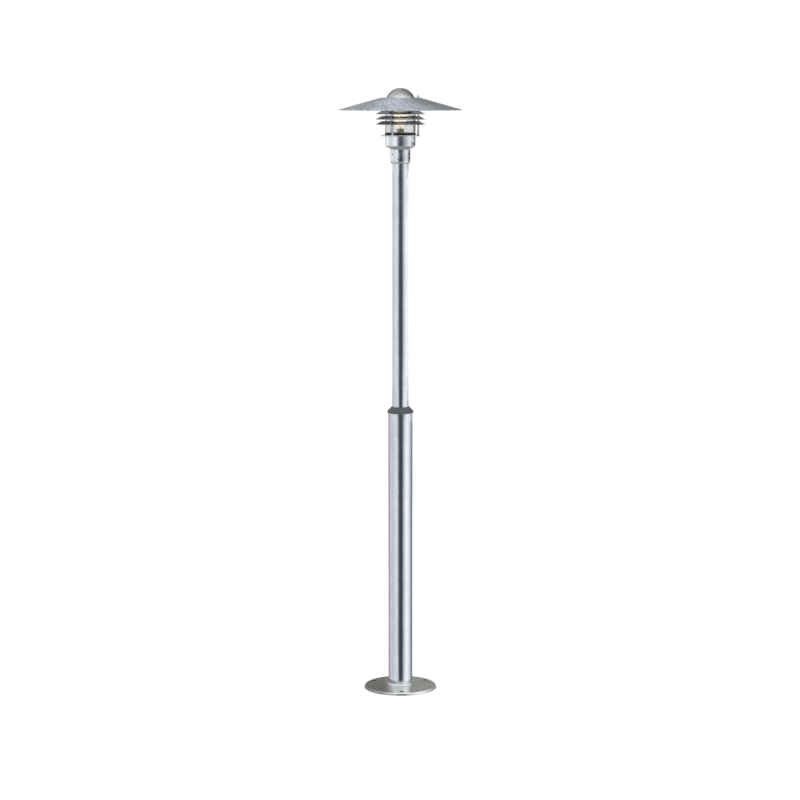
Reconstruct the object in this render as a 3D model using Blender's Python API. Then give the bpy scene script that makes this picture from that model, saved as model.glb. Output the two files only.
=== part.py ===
"""Street lamp post: a round base plate, a stepped steel post and a lantern head.

The head is a sleeve and cup on the post's end, a seat plate with three tie rods,
a stack of three louvre rings, a wide conical shade and a glass globe over a
screw-in bulb.  Metres, +Z up.  The origin is the centre of the base plate's
underside, on the post's axis.  Front is -Y.
"""
import math

import bmesh
import bpy
from mathutils import Matrix, Vector

MM = 0.001
CLEAR = 0.3            # gap between neighbouring pieces, mm

# ---------------------------------------------------------------- sizes, mm
BASE_R = 131.5         # base plate, outer radius
BASE_T = 4.0           # base plate, sheet thickness
BASE_RIM_TOP = 8.4     # top of the rolled rim
BASE_CROWN = 12.4      # height of the plate where it meets the post
ANCHOR_PCR = 110.0     # anchor holes, pitch circle radius
ANCHOR_HOLE_R = 6.5
ANCHOR_ANGLES = (-87.0, 33.0, 153.0)

LOWER_R = 44.45        # lower tube, 88.9 mm pipe
LOWER_WALL = 3.2
LOWER_Z0 = 1.0
LOWER_Z1 = 1028.0

UPPER_R = 30.15        # upper tube, 60.3 mm pipe
UPPER_WALL = 2.9
UPPER_Z0 = 900.0
UPPER_Z1 = 1980.8

COLLAR_R = 47.8        # transition collar
COLLAR_TOP = 1048.5
COLLAR_SHOULDER = 1031.5
COLLAR_SKIRT = 1025.0

SLEEVE_R = 35.75       # sleeve that slips over the post's end
SLEEVE_Z0 = 1930.6
SLEEVE_Z1 = 1981.2
GRUB_Z = 1963.4
GRUB_R = 2.9
GRUB_ANGLES = (-145.0, -25.0, 95.0)
GRUB_TIP = 30.7        # radius of the screw's tip at rest
GRUB_HEAD = 35.3       # radius of the screw's outer end at rest

CUP_R = 54.3           # wiring cup under the seat plate
CUP_Z0 = 1981.5
CUP_CONE_TOP = 1992.2
CUP_Z1 = 2027.9
CUP_WALL = 2.0
CABLE_R = 4.5

SEAT_R = 70.5          # seat plate
SEAT_HOLE_R = 24.0
SEAT_Z0 = 2028.2
SEAT_Z1 = 2032.2

GLASS_R = 54.5         # globe
GLASS_WALL = 3.0
GLASS_Z0 = 2038.9
GLASS_TOP = 2200.0

ROD_PCR = 64.3         # tie rods, pitch circle radius
ROD_R = 2.5
ROD_ANGLES = (4.3, 124.3, -115.7)
ROD_Z0 = 2027.2
ROD_Z1 = 2171.5
SPACER_R = 3.5
ROD_HOLE_R = 2.85

LOUVRE_R = 88.5        # louvre rings
LOUVRE_HOLE_R = 58.0
LOUVRE_FLAT_R = 68.2
LOUVRE_T = 1.5
LOUVRE_H = 12.5
LOUVRE_TOPS = (2118.9, 2100.4, 2082.0)

SHADE_R = 221.6        # shade
SHADE_HOLE_R = 52.0
SHADE_FLAT_R = 70.5
SHADE_TOP = 2165.6
SHADE_RIM = 2123.0
SHADE_T = 1.5

HOLDER_R = 19.0        # lampholder
HOLDER_Z0 = 2011.3
HOLDER_Z1 = 2040.0
BULB_CAP_R = 13.2
BULB_R = 30.0
BULB_TOP = 2134.0


# ------------------------------------------------------------------ helpers
for old in list(bpy.data.objects):
    bpy.data.objects.remove(old, do_unlink=True)


def material(name, rgb, rough, metal, alpha=1.0):
    mat = bpy.data.materials.new(name)
    mat.use_nodes = True
    bsdf = mat.node_tree.nodes["Principled BSDF"]
    bsdf.inputs["Base Color"].default_value = (*rgb, 1.0)
    bsdf.inputs["Roughness"].default_value = rough
    bsdf.inputs["Metallic"].default_value = metal
    bsdf.inputs["Alpha"].default_value = alpha
    mat.diffuse_color = (*rgb, alpha)
    return mat


GALVANISED = dict(rgb=(0.60, 0.62, 0.64), rough=0.32, metal=1.0)
RUBBER = dict(rgb=(0.02, 0.02, 0.022), rough=0.65, metal=0.0)
BRASS = dict(rgb=(0.72, 0.55, 0.26), rough=0.3, metal=1.0)
STAINLESS = dict(rgb=(0.66, 0.66, 0.65), rough=0.25, metal=1.0)


def finish(name, bm, look, sharp=35.0):
    """Close, orient and shade a mesh, and make it the object called name."""
    bmesh.ops.remove_doubles(bm, verts=bm.verts, dist=1e-6)
    bmesh.ops.recalc_face_normals(bm, faces=bm.faces)
    if bm.calc_volume(signed=True) < 0:
        bmesh.ops.reverse_faces(bm, faces=bm.faces)
    mesh = bpy.data.meshes.new(name)
    bm.to_mesh(mesh)
    bm.free()
    mesh.shade_smooth()
    mesh.set_sharp_from_angle(angle=math.radians(sharp))
    ob = bpy.data.objects.new(name, mesh)
    bpy.context.scene.collection.objects.link(ob)
    if look is not None:
        mesh.materials.append(material(name, **look))
    return ob


def fillet(points, radii, steps=3):
    """Round the corners of a closed outline.  radii maps a point's index to its radius."""
    out = []
    count = len(points)
    for i, p in enumerate(points):
        r = radii.get(i, 0.0)
        if r <= 0.0:
            out.append(tuple(p))
            continue
        p = Vector(p)
        a = (Vector(points[i - 1]) - p)
        b = (Vector(points[(i + 1) % count]) - p)
        ua, ub = a.normalized(), b.normalized()
        half = ua.angle(ub) / 2.0
        cut = min(r / math.tan(half), 0.98 * a.length, 0.98 * b.length)
        rr = cut * math.tan(half)
        centre = p + (ua + ub).normalized() * (rr / math.sin(half))
        start = p + ua * cut - centre
        end = p + ub * cut - centre
        turn = start.angle_signed(end)
        for k in range(steps + 1):
            t = -turn * k / steps
            out.append((centre.x + start.x * math.cos(t) - start.y * math.sin(t),
                        centre.y + start.x * math.sin(t) + start.y * math.cos(t)))
    return out


def turned(name, outline, segs, look, at=(0.0, 0.0), sharp=35.0):
    """Spin a closed outline of (radius, z) points in mm about a vertical axis."""
    bm = bmesh.new()
    verts = [bm.verts.new((r * MM, 0.0, z * MM)) for r, z in outline]
    edges = []
    for i, v in enumerate(verts):
        w = verts[(i + 1) % len(verts)]
        if outline[i][0] > 0.0 or outline[(i + 1) % len(verts)][0] > 0.0:
            edges.append(bm.edges.new((v, w)))
    bmesh.ops.spin(bm, geom=verts + edges, cent=(0, 0, 0), axis=(0, 0, 1),
                   angle=2 * math.pi, steps=segs, use_merge=True)
    ob = finish(name, bm, look, sharp)
    ob.location = (at[0] * MM, at[1] * MM, 0.0)
    return ob


def ringed(name, rings, look, at=(0.0, 0.0), closed=False, sharp=25.0):
    """Skin a stack of rings of equal point counts; a one-point ring is a pole."""
    bm = bmesh.new()
    rows = [[bm.verts.new((x * MM, y * MM, z * MM)) for x, y, z in ring] for ring in rings]
    pairs = list(zip(rows, rows[1:]))
    if closed:
        pairs.append((rows[-1], rows[0]))
    for a, b in pairs:
        n = max(len(a), len(b))
        for k in range(n):
            m = (k + 1) % n
            if len(a) == 1:
                bm.faces.new((a[0], b[m], b[k]))
            elif len(b) == 1:
                bm.faces.new((a[k], a[m], b[0]))
            else:
                bm.faces.new((a[k], a[m], b[m], b[k]))
    ob = finish(name, bm, look, sharp)
    ob.location = (at[0] * MM, at[1] * MM, 0.0)
    return ob


def circle(r, z, n=12):
    return [(r * math.cos(2 * math.pi * k / n), r * math.sin(2 * math.pi * k / n), z)
            for k in range(n)]


def hexagon(flats, z):
    """A hexagon as 12 points: its corners and the middles of its flats."""
    corner = flats / 2 / math.cos(math.radians(30))
    return [((corner if k % 2 == 0 else flats / 2) * math.cos(math.radians(30 * k)),
             (corner if k % 2 == 0 else flats / 2) * math.sin(math.radians(30 * k)), z)
            for k in range(12)]


def swept(name, path, r, sides, look):
    """A round wire of radius r mm along a path of points in mm, with flat ends."""
    pts = [Vector(p) * MM for p in path]
    bm = bmesh.new()
    rows = []
    normal = None
    for i, p in enumerate(pts):
        before = (p - pts[i - 1]).normalized() if i else None
        after = (pts[i + 1] - p).normalized() if i + 1 < len(pts) else None
        along = ((before or after) + (after or before)).normalized()
        if normal is None:
            normal = along.orthogonal().normalized()
        normal = (normal - along * normal.dot(along)).normalized()
        side = along.cross(normal)
        rows.append([bm.verts.new(p + (normal * math.cos(a) + side * math.sin(a)) * r * MM)
                     for a in (2 * math.pi * k / sides for k in range(sides))])
    for a, b in zip(rows, rows[1:]):
        for k in range(sides):
            m = (k + 1) % sides
            bm.faces.new((a[k], a[m], b[m], b[k]))
    bm.faces.new(rows[0])
    bm.faces.new(list(reversed(rows[-1])))
    return finish(name, bm, look)


def extruded(name, outline, y0, y1, look):
    """Extrude a closed outline of (x, z) points in mm along Y."""
    bm = bmesh.new()
    face = bm.faces.new([bm.verts.new((x * MM, y0 * MM, z * MM)) for x, z in outline])
    grown = bmesh.ops.extrude_face_region(bm, geom=[face])
    moved = [e for e in grown["geom"] if isinstance(e, bmesh.types.BMVert)]
    bmesh.ops.translate(bm, verts=moved, vec=(0.0, (y1 - y0) * MM, 0.0))
    return finish(name, bm, look)


def cutter(name, bars):
    """Round bars (start, end, radius) in mm, kept as one guide object for Booleans."""
    bm = bmesh.new()
    for start, end, r in bars:
        a, b = Vector(start) * MM, Vector(end) * MM
        turn = (b - a).to_track_quat("Z", "Y").to_matrix().to_4x4()
        bmesh.ops.create_cone(bm, cap_ends=True, segments=16, radius1=r * MM,
                              radius2=r * MM, depth=(b - a).length,
                              matrix=Matrix.Translation((a + b) / 2) @ turn)
    ob = finish(name, bm, None)
    ob.hide_render = True
    ob.display_type = "WIRE"
    return ob


def cut(ob, tool):
    mod = ob.modifiers.new("holes", "BOOLEAN")
    mod.operation = "DIFFERENCE"
    mod.solver = "EXACT"
    mod.object = tool


def polar(r, degrees):
    return (r * math.cos(math.radians(degrees)), r * math.sin(math.radians(degrees)))


def group(name, at, pieces):
    """An empty on the moving group's axis, with the group's pieces as its children."""
    empty = bpy.data.objects.new(name, None)
    empty.empty_display_size = 0.05
    empty.location = at
    bpy.context.scene.collection.objects.link(empty)
    for ob in pieces:
        ob.parent = empty
        ob.matrix_parent_inverse = Matrix.Translation(-Vector(at))
    return empty


# --------------------------------------------------------------------- post
anchor_holes = cutter("anchor_hole_guide", [
    ((*polar(ANCHOR_PCR, a), -5.0), (*polar(ANCHOR_PCR, a), 25.0), ANCHOR_HOLE_R)
    for a in ANCHOR_ANGLES])
rod_holes = cutter("rod_hole_guide", [
    ((*polar(ROD_PCR, a), 2020.0), (*polar(ROD_PCR, a), 2180.0), ROD_HOLE_R)
    for a in ROD_ANGLES])
grub_holes = cutter("grub_hole_guide", [
    ((*polar(26.0, a), GRUB_Z), (*polar(42.0, a), GRUB_Z), GRUB_R + 0.35)
    for a in GRUB_ANGLES])

bore = LOWER_R + CLEAR
base_flange = turned("base_flange", fillet([
    (127.0, 0.0), (BASE_R, 0.0), (BASE_R, BASE_RIM_TOP - 0.6), (118.0, BASE_RIM_TOP + 0.5),
    (85.0, 10.6), (49.0, BASE_CROWN), (47.6, BASE_CROWN + 1.2), (bore, BASE_CROWN + 3.6),
    (bore, BASE_CROWN - BASE_T), (60.0, BASE_CROWN - BASE_T - 0.6),
    (118.0, BASE_RIM_TOP + 0.5 - BASE_T), (127.0, BASE_RIM_TOP - BASE_T - 0.9),
], {2: 5.5}, steps=2), 40, GALVANISED)
cut(base_flange, anchor_holes)

lower_post_tube = turned("lower_post_tube", [
    (LOWER_R - LOWER_WALL, LOWER_Z0), (LOWER_R, LOWER_Z0),
    (LOWER_R, LOWER_Z1), (LOWER_R - LOWER_WALL, LOWER_Z1)], 32, GALVANISED)
upper_post_tube = turned("upper_post_tube", [
    (UPPER_R - UPPER_WALL, UPPER_Z0), (UPPER_R, UPPER_Z0),
    (UPPER_R, UPPER_Z1), (UPPER_R - UPPER_WALL, UPPER_Z1)], 32, GALVANISED)


def centring_ring(name, z0, z1):
    return turned(name, [
        (UPPER_R + 0.35, z0), (LOWER_R - LOWER_WALL - 0.35, z0),
        (LOWER_R - LOWER_WALL - 0.35, z1), (UPPER_R + 0.35, z1)], 32, GALVANISED)


centring_lower = centring_ring("centring_ring_lower", 905.0, 920.0)
centring_upper = centring_ring("centring_ring_upper", 1008.0, 1023.0)

transition_collar = turned("transition_collar", [
    (UPPER_R + 0.35, LOWER_Z1 + CLEAR), (UPPER_R + 0.35, COLLAR_TOP), (31.6, COLLAR_TOP),
    (COLLAR_R, COLLAR_SHOULDER), (COLLAR_R, COLLAR_SKIRT + 3.0), (46.2, COLLAR_SKIRT),
    (LOWER_R + 0.35, COLLAR_SKIRT), (LOWER_R + 0.35, LOWER_Z1 + CLEAR)], 32, dict(rgb=(0.085, 0.09, 0.10), rough=0.5, metal=0.0))

supply_cable = turned("supply_cable", [
    (0.0, 2.0), (CABLE_R, 2.0), (CABLE_R, 1989.4), (0.0, 1989.4)], 12, RUBBER)

# --------------------------------------------------------------------- head
post_sleeve = turned("post_sleeve", [
    (UPPER_R + 0.35, SLEEVE_Z0), (31.2, SLEEVE_Z0), (34.3, SLEEVE_Z0 + 2.2),
    (SLEEVE_R, SLEEVE_Z0 + 8.0), (SLEEVE_R, SLEEVE_Z1), (UPPER_R + 0.35, SLEEVE_Z1)], 32, GALVANISED)
cut(post_sleeve, grub_holes)

grub_screws = []
for tag, angle in zip("abc", GRUB_ANGLES):
    length = GRUB_HEAD - GRUB_TIP
    screw = turned("grub_screw_" + tag, [
        (0.0, 0.0), (GRUB_R - 0.8, 0.0), (GRUB_R, 0.8), (GRUB_R, length),
        (1.6, length), (1.6, length - 2.2), (0.0, length - 2.2)], 12, STAINLESS)
    screw.rotation_euler = (0.0, math.radians(90.0), math.radians(angle))
    x, y = polar(GRUB_TIP, angle)
    screw.location = (x * MM, y * MM, GRUB_Z * MM)
    grub_screws.append(screw)

housing_cup = turned("housing_cup", [
    (10.5, CUP_Z0), (36.0, CUP_Z0), (CUP_R, CUP_CONE_TOP), (CUP_R, CUP_Z1),
    (CUP_R - CUP_WALL, CUP_Z1), (CUP_R - CUP_WALL, CUP_CONE_TOP + 1.2),
    (35.5, CUP_Z0 + 2.5), (10.5, CUP_Z0 + 2.5)], 32, GALVANISED)

cable_grommet = turned("cable_grommet", [
    (CABLE_R + 0.45, 1981.1), (10.0, 1981.1), (10.0, CUP_Z0 + 2.9), (12.5, CUP_Z0 + 2.9),
    (12.5, 1986.4), (CABLE_R + 0.45, 1986.4)], 16, RUBBER)

glass_seat_ring = turned("glass_seat_plate", [
    (SEAT_HOLE_R, SEAT_Z0), (SEAT_R, SEAT_Z0), (SEAT_R, SEAT_Z1), (SEAT_HOLE_R, SEAT_Z1)],
    32, GALVANISED)
cut(glass_seat_ring, rod_holes)

glass_gasket = turned("glass_gasket", [
    (44.0, SEAT_Z1 + CLEAR), (53.5, SEAT_Z1 + CLEAR), (53.5, GLASS_Z0 - 0.9),
    (52.9, GLASS_Z0 - CLEAR), (44.0, GLASS_Z0 - CLEAR)], 32, RUBBER)

louvres = []
for number, top in enumerate(LOUVRE_TOPS, 1):
    low = top - LOUVRE_H
    ring = turned("louvre_ring_%d" % number, [
        (LOUVRE_HOLE_R, top - LOUVRE_T), (LOUVRE_FLAT_R - 0.2, top - LOUVRE_T),
        (LOUVRE_R - 1.5, low), (LOUVRE_R, low), (LOUVRE_R, low + 1.2),
        (LOUVRE_FLAT_R + 0.2, top), (LOUVRE_HOLE_R, top)], 32, GALVANISED)
    cut(ring, rod_holes)
    louvres.append(ring)

rods, spacers, foot_nuts, cap_nuts = [], [], [], []
levels = [SEAT_Z1] + [z for top in reversed(LOUVRE_TOPS) for z in (top - LOUVRE_T, top)] \
    + [SHADE_TOP - SHADE_T]
for tag, angle in zip("abc", ROD_ANGLES):
    place = polar(ROD_PCR, angle)
    rods.append(turned("tie_rod_" + tag, [
        (0.0, ROD_Z0), (ROD_R - 0.5, ROD_Z0), (ROD_R, ROD_Z0 + 0.5),
        (ROD_R, ROD_Z1), (0.0, ROD_Z1)], 12, STAINLESS, at=place))
    foot = [SEAT_Z1 + CLEAR, SEAT_Z1 + 4.3]
    foot_nuts.append(ringed("foot_nut_" + tag, [
        circle(2.8, foot[0]), hexagon(8.0, foot[0]), hexagon(8.0, foot[1] - 0.5),
        circle(3.85, foot[1]), circle(2.8, foot[1])], STAINLESS, at=place, closed=True))
    for step in range(4):
        low = levels[2 * step] + CLEAR if step else foot[1] + CLEAR
        high = levels[2 * step + 1] - CLEAR
        spacers.append(turned("spacer_%s%d" % (tag, 4 - step), [
            (2.8, low), (SPACER_R, low), (SPACER_R, high), (2.8, high)],
            10, STAINLESS, at=place))
    z = SHADE_TOP + CLEAR
    cap_nuts.append(ringed("cap_nut_" + tag, [
        [(0.0, 0.0, z + 6.6)], circle(2.8, z + 6.2), circle(2.8, z), circle(4.9, z),
        circle(4.9, z + 0.9), hexagon(8.0, z + 1.2), hexagon(8.0, z + 4.6),
        circle(3.8, z + 5.0), circle(3.35, z + 7.0), circle(2.1, z + 8.6),
        [(0.0, 0.0, z + 9.2)]], STAINLESS, at=place))

# ---------------------------------------------------------- shade and glass
slope = (SHADE_TOP - SHADE_RIM) / (SHADE_R - SHADE_FLAT_R)
drop = SHADE_T * math.hypot(1.0, slope)
main_shade = turned("main_shade", [
    (SHADE_HOLE_R, SHADE_TOP - SHADE_T), (SHADE_FLAT_R - 0.2, SHADE_TOP - SHADE_T),
    (SHADE_R - 4.0, SHADE_RIM + 4.0 * slope - drop), (SHADE_R - 4.0, SHADE_RIM - 2.2),
    (SHADE_R - 0.8, SHADE_RIM - 3.0), (SHADE_R, SHADE_RIM - 2.2), (SHADE_R, SHADE_RIM - 0.8),
    (SHADE_R - 0.9, SHADE_RIM + 0.15), (SHADE_FLAT_R + 0.2, SHADE_TOP),
    (SHADE_HOLE_R, SHADE_TOP)], 48, GALVANISED, sharp=20.0)
cut(main_shade, rod_holes)

dome_z = GLASS_TOP - GLASS_R
seal_r = math.sqrt(GLASS_R ** 2 - (2160.4 - dome_z) ** 2) + 0.5
upper_glass_seal = turned("upper_glass_seal", [
    (seal_r, 2160.4), (57.0, 2160.4), (57.0, SHADE_TOP - SHADE_T - CLEAR),
    (seal_r, SHADE_TOP - SHADE_T - CLEAR)], 32, RUBBER)


def arc(r, z0, steps, down=False):
    turns = [math.pi / 2 * k / steps for k in range(steps + 1)]
    if down:
        turns.reverse()
    return [(r * math.cos(t) if t < math.pi / 2 else 0.0, z0 + r * math.sin(t)) for t in turns]


glass_globe = turned("glass_globe", [
    (GLASS_R - 1.9, GLASS_Z0), (GLASS_R - 0.5, GLASS_Z0 + 1.2), (GLASS_R, GLASS_Z0 + 4.0),
    *arc(GLASS_R, dome_z, 7), *arc(GLASS_R - GLASS_WALL, dome_z, 6, down=True),
    (GLASS_R - GLASS_WALL, GLASS_Z0 + 4.0), (GLASS_R - 4.6, GLASS_Z0)],
    32, dict(rgb=(0.95, 0.96, 0.95), rough=0.02, metal=0.0, alpha=0.3))

# --------------------------------------------------------- lampholder, wiring
lampholder_bracket = extruded("lampholder_bracket", [
    (-33.5, 1984.4), (-33.5, 2011.0), (33.5, 2011.0), (33.5, 1984.4), (22.0, 1984.4),
    (22.0, 1985.9), (32.0, 1985.9), (32.0, 2009.5), (-32.0, 2009.5), (-32.0, 1985.9),
    (-22.0, 1985.9), (-22.0, 1984.4)], -9.0, 9.0, GALVANISED)
lampholder_body = turned("lampholder_body", [
    (3.9, HOLDER_Z0), (17.5, HOLDER_Z0), (HOLDER_R, HOLDER_Z0 + 1.5), (HOLDER_R, HOLDER_Z1 - 1.0),
    (18.0, HOLDER_Z1), (15.2, HOLDER_Z1), (15.2, 2021.0), (3.9, 2021.0)],
    16, dict(rgb=(0.80, 0.78, 0.72), rough=0.25, metal=0.0))
lampholder_thread = turned("lampholder_thread_shell", [
    (13.75, 2021.5), (14.8, 2021.5), (14.8, HOLDER_Z1 - 1.2), (13.75, HOLDER_Z1 - 1.2)],
    16, BRASS)
centre_contact = turned("centre_contact", [
    (0.0, 2014.0), (2.6, 2014.0), (2.6, 2023.6), (4.6, 2024.4), (4.6, 2026.6),
    (3.2, 2027.3), (0.0, 2027.5)], 12, BRASS)
terminal_block = extruded("terminal_block", fillet([
    (-15.0, 1990.0), (15.0, 1990.0), (15.0, 2003.0), (-15.0, 2003.0)],
    {2: 2.0, 3: 2.0}, steps=2), -8.0, 8.0, dict(rgb=(0.75, 0.74, 0.70), rough=0.4, metal=0.0))


def feed(name, x, rgb):
    return swept(name, [(x, 8.4, 1997.0), (x, 12.5, 1997.6), (x, 15.2, 2001.0),
                        (x, 15.6, 2006.0), (x, 15.6, 2010.9)], 1.3, 8,
                 dict(rgb=rgb, rough=0.45, metal=0.0))


live_wire = feed("live_wire", -6.0, (0.18, 0.07, 0.03))
neutral_wire = feed("neutral_wire", 6.0, (0.03, 0.10, 0.42))
earth_screw = ringed("earth_screw", [
    [(0.0, 0.0, 1986.3)], circle(3.6, 1986.3), circle(3.6, 1987.8), circle(2.4, 1988.8),
    [(0.0, 0.0, 1989.0)]], STAINLESS, at=(27.0, 0.0))
earth_wire = swept("earth_wire", [(15.4, 0.0, 1996.5), (20.0, 0.0, 1997.0), (24.5, 0.0, 1995.4),
                                  (26.7, 0.0, 1992.4), (27.0, 0.0, 1989.4)], 1.3, 8,
                   dict(rgb=(0.30, 0.48, 0.06), rough=0.45, metal=0.0))

# --------------------------------------------------------------------- bulb
bulb_tip = turned("bulb_tip_contact", [
    (0.0, 2027.9), (3.0, 2028.1), (4.0, 2028.9), (4.0, 2031.0), (0.0, 2031.0)],
    12, dict(rgb=(0.6, 0.6, 0.58), rough=0.35, metal=1.0))
bulb_insulator = turned("bulb_insulator", [
    (4.4, 2028.9), (6.0, 2028.9), (10.4, 2031.7), (10.4, 2033.0), (4.4, 2033.0)],
    16, dict(rgb=(0.01, 0.01, 0.012), rough=0.15, metal=0.0))
bulb_cap = turned("bulb_screw_cap", [
    (10.8, 2031.7), (11.3, 2031.9), (BULB_CAP_R, 2034.6), (BULB_CAP_R, 2052.0),
    (13.9, 2053.0), (13.9, 2056.0), (13.4, 2056.0), (13.4, 2053.4), (12.7, 2052.4),
    (12.7, 2034.9), (10.8, 2032.4)], 16, dict(rgb=(0.62, 0.50, 0.34), rough=0.3, metal=1.0))


def envelope(shrink, steps):
    """The bulb's glass from neck to crown, as (radius, z), pulled in by shrink mm."""
    round_z = BULB_TOP - BULB_R
    pts = []
    for k in range(steps + 1):
        t = k / steps
        ease = t * t * (3 - 2 * t)
        pts.append((12.9 + (BULB_R - 12.9) * ease - shrink, 2056.6 + (round_z - 2056.6) * t))
    for k in range(1, steps + 1):
        t = math.pi / 2 * k / steps
        pts.append(((BULB_R - shrink) * math.cos(t) if k < steps else 0.0,
                    round_z + (BULB_R - shrink) * math.sin(t)))
    return pts


bulb_glass = turned("bulb_glass", [
    (11.9, 2053.0), *envelope(0.0, 5), *reversed(envelope(0.9, 4)), (11.0, 2053.0)],
    16, dict(rgb=(0.98, 0.86, 0.62), rough=0.02, metal=0.0, alpha=0.35))
bulb_stem = turned("bulb_stem", [
    (0.0, 2053.4), (9.6, 2053.4), (8.2, 2056.0), (3.6, 2062.0), (2.8, 2070.0), (2.8, 2083.0),
    (2.0, 2085.0), (0.0, 2085.6)], 12, dict(rgb=(0.9, 0.9, 0.88), rough=0.05, metal=0.0, alpha=0.4))
zigzag = [(-2.4, 0.0, 2086.4), (-9.0, 0.0, 2093.0)]
for k in range(9):
    x, y = polar(11.0, 180.0 + 180.0 * k / 8.0)
    zigzag.append((x, y, 2096.0 if k % 2 == 0 else 2114.0))
zigzag += [(9.0, 0.0, 2093.0), (2.4, 0.0, 2086.4)]
bulb_filament = swept("bulb_filament", zigzag, 0.6, 6, dict(rgb=(1.0, 0.72, 0.35), rough=0.4, metal=0.0))

# ------------------------------------------------------------ moving groups
head = [post_sleeve, housing_cup, cable_grommet, glass_seat_ring, glass_gasket, *louvres,
        *rods, *spacers, *foot_nuts, lampholder_bracket, lampholder_body, lampholder_thread,
        terminal_block, live_wire, neutral_wire, earth_screw, earth_wire]
group("head_swivel_axis", (0.0, 0.0, GRUB_Z * MM), head)
group("shade_lift_axis", (0.0, 0.0, SHADE_TOP * MM), [main_shade, upper_glass_seal, *cap_nuts])
group("glass_lift_axis", (0.0, 0.0, GLASS_Z0 * MM), [glass_globe])
group("bulb_rise_axis", (0.0, 0.0, 2028.0 * MM), [bulb_tip])
group("bulb_turn_axis", (0.0, 0.0, 2034.6 * MM),
      [bulb_insulator, bulb_cap, bulb_glass, bulb_stem, bulb_filament])
group("contact_press_axis", (0.0, 0.0, 2024.4 * MM), [centre_contact])
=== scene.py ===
import math

import bmesh
import bpy
from mathutils import Matrix, Vector


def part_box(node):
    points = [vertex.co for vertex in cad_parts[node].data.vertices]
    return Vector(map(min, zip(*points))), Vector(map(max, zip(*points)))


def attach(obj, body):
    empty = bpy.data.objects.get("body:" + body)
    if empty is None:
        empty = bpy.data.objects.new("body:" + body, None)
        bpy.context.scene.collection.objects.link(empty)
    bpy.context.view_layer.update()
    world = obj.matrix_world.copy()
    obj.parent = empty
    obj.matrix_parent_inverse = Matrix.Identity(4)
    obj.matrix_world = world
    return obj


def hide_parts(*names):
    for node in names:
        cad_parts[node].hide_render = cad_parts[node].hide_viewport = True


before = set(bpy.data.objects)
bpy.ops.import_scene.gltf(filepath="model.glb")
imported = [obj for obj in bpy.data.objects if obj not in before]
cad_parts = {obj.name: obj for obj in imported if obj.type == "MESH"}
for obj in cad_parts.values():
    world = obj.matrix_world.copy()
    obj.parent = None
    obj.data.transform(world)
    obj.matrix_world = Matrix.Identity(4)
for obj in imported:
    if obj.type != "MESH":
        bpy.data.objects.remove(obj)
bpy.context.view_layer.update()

MM = 0.001
LOW, HIGH = 0, 1


def box(node):
    """A CAD node's corners in mm."""
    low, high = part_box(node)
    return [v / MM for v in low], [v / MM for v in high]


def z0(node):
    return box(node)[LOW][2]


def z1(node):
    return box(node)[HIGH][2]


def rmax(node):
    low, high = box(node)
    return (high[0] - low[0]) / 2


def centre(node):
    low, high = box(node)
    return (low[0] + high[0]) / 2, (low[1] + high[1]) / 2


# ------------------------------------------------------------------ materials
class Graph:
    """A short way to write a node tree."""

    def __init__(self, tree):
        self.tree = tree
        tree.nodes.clear()

    def add(self, kind, _out=0, **given):
        node = self.tree.nodes.new(kind)
        for key, value in given.items():
            if key in node.bl_rna.properties and not key.startswith("i_"):
                setattr(node, key, value)
        for key, value in given.items():
            if key.startswith("i_"):
                name = key[2:]
                socket = node.inputs[int(name)] if name.isdigit() else node.inputs[name.replace("_", " ")]
                if isinstance(value, bpy.types.NodeSocket):
                    self.tree.links.new(value, socket)
                else:
                    socket.default_value = value
        return node

    def math(self, op, a, b=None, c=None, clamp=False):
        node = self.tree.nodes.new("ShaderNodeMath")
        node.operation = op
        node.use_clamp = clamp
        for socket, value in zip(node.inputs, (a, b, c)):
            if value is None:
                continue
            if isinstance(value, bpy.types.NodeSocket):
                self.tree.links.new(value, socket)
            else:
                socket.default_value = value
        return node.outputs[0]

    def ramp(self, fac, stops, mode="LINEAR"):
        node = self.tree.nodes.new("ShaderNodeValToRGB")
        node.color_ramp.interpolation = mode
        elements = node.color_ramp.elements
        while len(elements) > 1:
            elements.remove(elements[-1])
        for k, (pos, col) in enumerate(stops):
            el = elements[0] if k == 0 else elements.new(pos)
            el.position = pos
            if isinstance(col, (int, float)):
                col = (col, col, col)
            el.color = (*col, 1.0)
        self.tree.links.new(fac, node.inputs[0])
        return node.outputs[0]

    def mix(self, fac, a, b, blend="MIX"):
        node = self.tree.nodes.new("ShaderNodeMix")
        node.data_type = "RGBA"
        node.blend_type = blend
        for socket, value in ((node.inputs[0], fac), (node.inputs[6], a), (node.inputs[7], b)):
            if isinstance(value, bpy.types.NodeSocket):
                self.tree.links.new(value, socket)
            elif isinstance(value, (int, float)):
                socket.default_value = value
            else:
                socket.default_value = (*value, 1.0)
        return node.outputs[2]

    def remap(self, value, low, high, to_low, to_high):
        node = self.add("ShaderNodeMapRange", i_0=value)
        for k, v in zip((1, 2, 3, 4), (low, high, to_low, to_high)):
            node.inputs[k].default_value = v
        return node.outputs[0]


def new_material(name):
    mat = bpy.data.materials.new(name)
    mat.use_nodes = True
    g = Graph(mat.node_tree)
    out = g.add("ShaderNodeOutputMaterial")
    bsdf = g.add("ShaderNodeBsdfPrincipled")
    mat.node_tree.links.new(bsdf.outputs[0], out.inputs[0])
    return mat, g, bsdf


def put(g, bsdf, **given):
    for key, value in given.items():
        socket = bsdf.inputs[key.replace("_", " ")]
        if isinstance(value, bpy.types.NodeSocket):
            g.tree.links.new(value, socket)
        elif isinstance(value, tuple) and len(value) == 3 and socket.type == "RGBA":
            socket.default_value = (*value, 1.0)
        else:
            socket.default_value = value


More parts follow.
